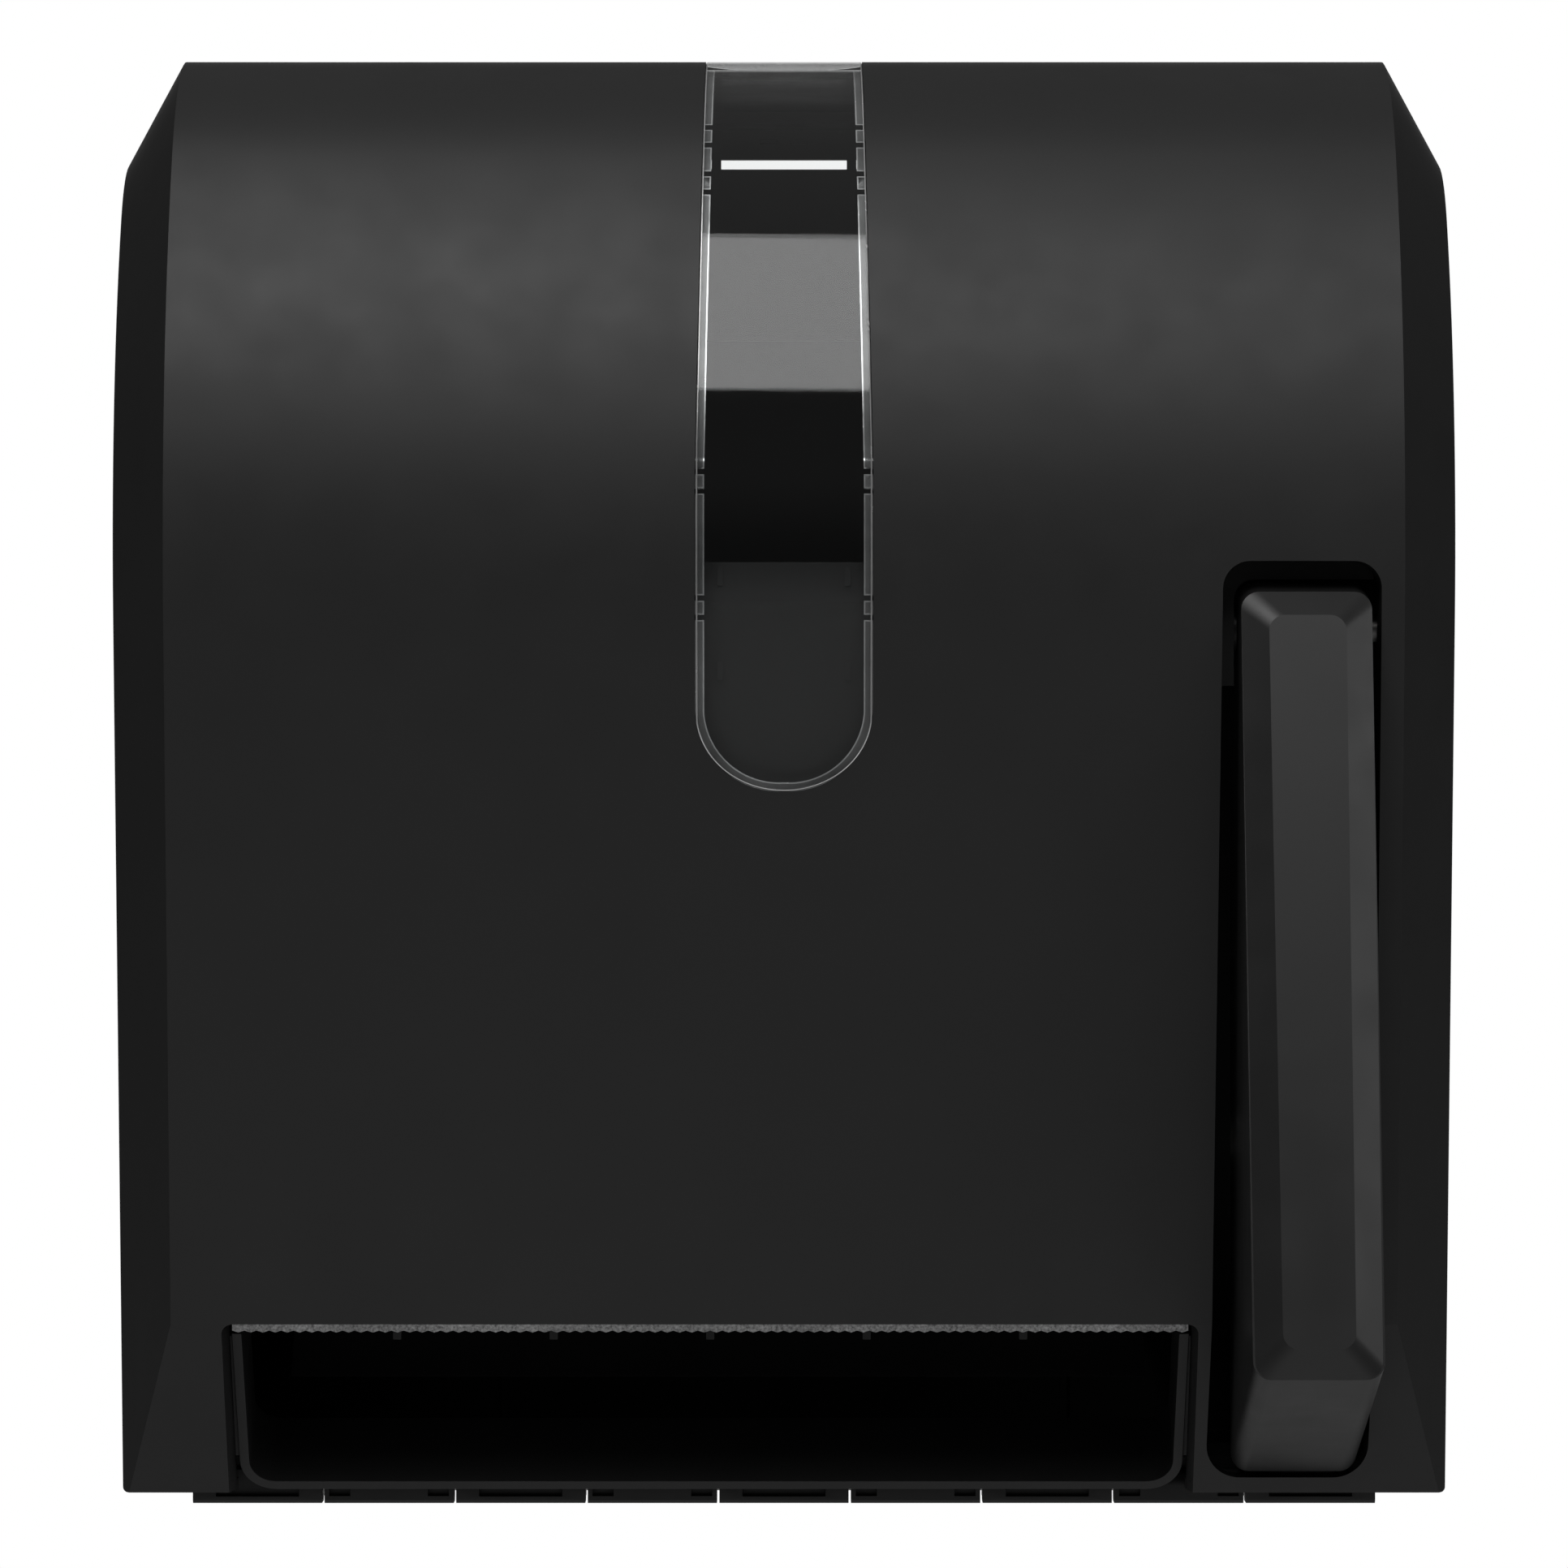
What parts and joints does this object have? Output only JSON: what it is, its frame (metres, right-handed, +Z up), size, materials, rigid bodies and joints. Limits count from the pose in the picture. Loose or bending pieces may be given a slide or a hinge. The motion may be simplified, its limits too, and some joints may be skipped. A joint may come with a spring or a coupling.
{
  "type": "lever paper towel dispenser",
  "caption": "Black wall-mounted roll paper towel dispenser with a clear curved window strip, a push lever on the right and a drop-open front cover",
  "frame": {"origin": "centre of the back face, on the wall, midway between the side walls", "axes": "+X to the right of someone facing the dispenser, +Y into the wall, +Z up"},
  "size_m": [0.33, 0.2577, 0.3643],
  "materials": {
    "housing_plastic": "moulded ABS, fine texture",
    "cover_plastic": "moulded ABS, satin with fine texture",
    "window_plastic": "clear moulded polycarbonate, gloss",
    "chute_plastic": "moulded ABS",
    "lever_plastic": "moulded ABS, satin",
    "frame_plastic": "glass-filled nylon",
    "panel_plastic": "moulded ABS",
    "bush_plastic": "acetal, natural",
    "gear_plastic": "acetal, natural",
    "roller_plastic": "moulded nylon",
    "arm_plastic": "moulded nylon",
    "hub_plastic": "moulded ABS",
    "grip_rubber": "grooved EPDM rubber",
    "pin_steel": "drawn steel",
    "spring_steel": "spring steel",
    "tear_steel": "stainless strip, stamped teeth",
    "lock_metal": "plated zinc"
  },
  "bodies": {
    "housing": {"back_housing": "housing_plastic", "hinge_pin": "pin_steel", "left_frame": "frame_plastic", "right_frame": "frame_plastic", "feed_bushes": "bush_plastic", "lever_bushes": "bush_plastic", "lever_bracket": "frame_plastic", "pressure_blocks": "bush_plastic", "pressure_springs": "spring_steel", "inner_panel": "panel_plastic", "tear_bar": "tear_steel", "paper_guide": "panel_plastic", "arm_brackets": "frame_plastic", "arm_pins": "pin_steel"},
    "cover": {"cover_shell": "cover_plastic", "window": "window_plastic", "exit_chute": "chute_plastic", "lock_barrel": "lock_metal"},
    "lock": {"lock_plug": "lock_metal", "lock_cam": "pin_steel"},
    "lever": {"lever_body": "lever_plastic", "lever_shaft": "pin_steel", "sector_gear": "gear_plastic"},
    "feed_roller": {"feed_shaft": "pin_steel", "feed_drum": "roller_plastic", "feed_grips": "grip_rubber", "drive_pinion": "gear_plastic", "clutch_drum": "pin_steel"},
    "pressure_roller": {"pressure_shaft": "pin_steel", "pressure_core": "roller_plastic", "pressure_grips": "grip_rubber"},
    "arm_left": {"left_arm": "arm_plastic"},
    "arm_right": {"right_arm": "arm_plastic"},
    "hub_left": {"left_hub": "hub_plastic"},
    "hub_right": {"right_hub": "hub_plastic"}
  },
  "joints": [
    {"name": "cover_hinge", "type": "hinge", "parent": "housing", "child": "cover", "pos_m": [0, -0.136, -0.1764], "axis": [1, 0, 0], "range_deg": [0, 95]},
    {"name": "lock_turn", "type": "hinge", "parent": "cover", "child": "lock", "pos_m": [0.07, -0.036, 0.1822], "axis": [0, 0, 1], "range_deg": [0, 90]},
    {"name": "lever_push", "type": "hinge", "parent": "housing", "child": "lever", "pos_m": [0.12665, -0.185, 0.038], "axis": [1, 0, 0], "range_deg": [0, 19], "stiffness_Nm_per_rad": 1.2, "springref_deg": -25.78},
    {"name": "feed_roller_turn", "type": "hinge", "parent": "housing", "child": "feed_roller", "pos_m": [0, -0.12198, -0.08841], "axis": [1, 0, 0], "range_deg": [-339.83, 0]},
    {"name": "pressure_roller_turn", "type": "hinge", "parent": "housing", "child": "pressure_roller", "pos_m": [0, -0.09388, -0.08841], "axis": [1, 0, 0], "range_deg": [0, 623.35]},
    {"name": "left_arm_spread", "type": "hinge", "parent": "housing", "child": "arm_left", "pos_m": [-0.1285, -0.012, 0.078], "axis": [0, 0, -1], "range_deg": [0, 7], "stiffness_Nm_per_rad": 0.6, "springref_deg": -8.59},
    {"name": "right_arm_spread", "type": "hinge", "parent": "housing", "child": "arm_right", "pos_m": [0.0925, -0.012, 0.078], "axis": [0, 0, 1], "range_deg": [0, 7], "stiffness_Nm_per_rad": 0.6, "springref_deg": -8.59},
    {"name": "left_hub_spin", "type": "hinge", "parent": "arm_left", "child": "hub_left", "pos_m": [-0.1265, -0.103, 0.078], "axis": [1, 0, 0], "continuous": true},
    {"name": "right_hub_spin", "type": "hinge", "parent": "arm_right", "child": "hub_right", "pos_m": [0.0905, -0.103, 0.078], "axis": [1, 0, 0], "continuous": true}
  ],
  "couplings": [
    {"joint": "feed_roller_turn", "follows": "lever_push", "ratio": -17.833},
    {"joint": "pressure_roller_turn", "follows": "lever_push", "ratio": 32.755}
  ]
}
